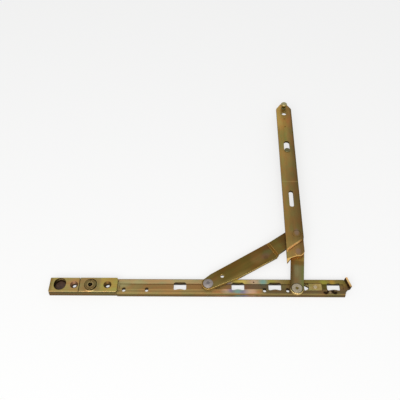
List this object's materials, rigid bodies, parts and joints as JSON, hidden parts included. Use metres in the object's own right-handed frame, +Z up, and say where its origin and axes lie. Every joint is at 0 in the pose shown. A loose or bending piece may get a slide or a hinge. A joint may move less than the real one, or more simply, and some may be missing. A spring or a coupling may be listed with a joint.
{
  "type": "window stay arm",
  "caption": "Folding window stay: a long slotted arm on a crank and a brace link, riveted to a pressed rail with a screw-down fixing end and eccentric adjuster.",
  "frame": {"origin": "on the base plane, midway between the two fixing screw holes", "axes": "+X along the rail from the fixing end to the crank pivot, +Y to the side the arm opens to, +Z up from the base"},
  "size_m": [0.3229, 0.2919, 0.0238],
  "materials": {
    "rail_zinc": "yellow passivated zinc on pressed steel, satin with faint iridescence",
    "plate_zinc": "yellow passivated zinc on steel, satin",
    "packer_plastic": "dark brown moulded plastic",
    "adjuster_zinc": "yellow passivated zinc on turned steel",
    "block_zinc": "yellow passivated zinc on steel, dull",
    "rivet_steel": "plain silver zinc, hammered",
    "stud_steel": "plain silver zinc, turned",
    "locating_steel": "plain silver zinc, flush",
    "flush_rivet_zinc": "yellow passivated zinc, ground flush",
    "crank_zinc": "yellow passivated zinc on flat steel",
    "link_zinc": "olive passivated zinc on flat steel",
    "arm_zinc": "gold passivated zinc on flat steel",
    "washer_plastic": "off-white friction washer"
  },
  "bodies": {
    "rail": {"rail": "rail_zinc", "end_plate": "plate_zinc", "catch_plate": "plate_zinc", "anchor_packer": "packer_plastic", "stop_block": "block_zinc", "stop_block_pin": "rivet_steel", "crank_rivet": "rivet_steel", "crank_washer": "washer_plastic", "brace_rivet": "rivet_steel", "brace_washer": "washer_plastic"},
    "link": {"brace_link": "link_zinc", "joint_rivet": "flush_rivet_zinc", "joint_washer": "washer_plastic"},
    "arm": {"stay_arm": "arm_zinc", "elbow_rivet": "flush_rivet_zinc", "tip_stud": "stud_steel", "locating_rivet": "locating_steel"},
    "crank": {"crank": "crank_zinc", "crank_elbow_stub": "flush_rivet_zinc", "elbow_washer": "washer_plastic"},
    "adjuster": {"eccentric_adjuster": "adjuster_zinc"}
  },
  "joints": [
    {"name": "link_swing", "type": "hinge", "parent": "rail", "child": "link", "pos_m": [0.1262, 0.0017, 0], "axis": [0, 0, 1], "range_deg": [-31.66, 0]},
    {"name": "arm_swing", "type": "hinge", "parent": "link", "child": "arm", "pos_m": [0.22541, 0.06277, 0], "axis": [0, 0, 1], "range_deg": [0, 122.61]},
    {"name": "crank_swing", "type": "hinge", "parent": "rail", "child": "crank", "pos_m": [0.2205, -0.0035, 0], "axis": [0, 0, 1], "range_deg": [-77.51, 0]},
    {"name": "adjuster_turn", "type": "hinge", "parent": "rail", "child": "adjuster", "pos_m": [0, 0, 0], "axis": [0, 0, 1], "continuous": true}
  ],
  "couplings": [
    {"joint": "link_swing", "follows": "arm_swing", "ratio": -0.25783},
    {"joint": "crank_swing", "follows": "arm_swing", "ratio": -0.6317}
  ]
}
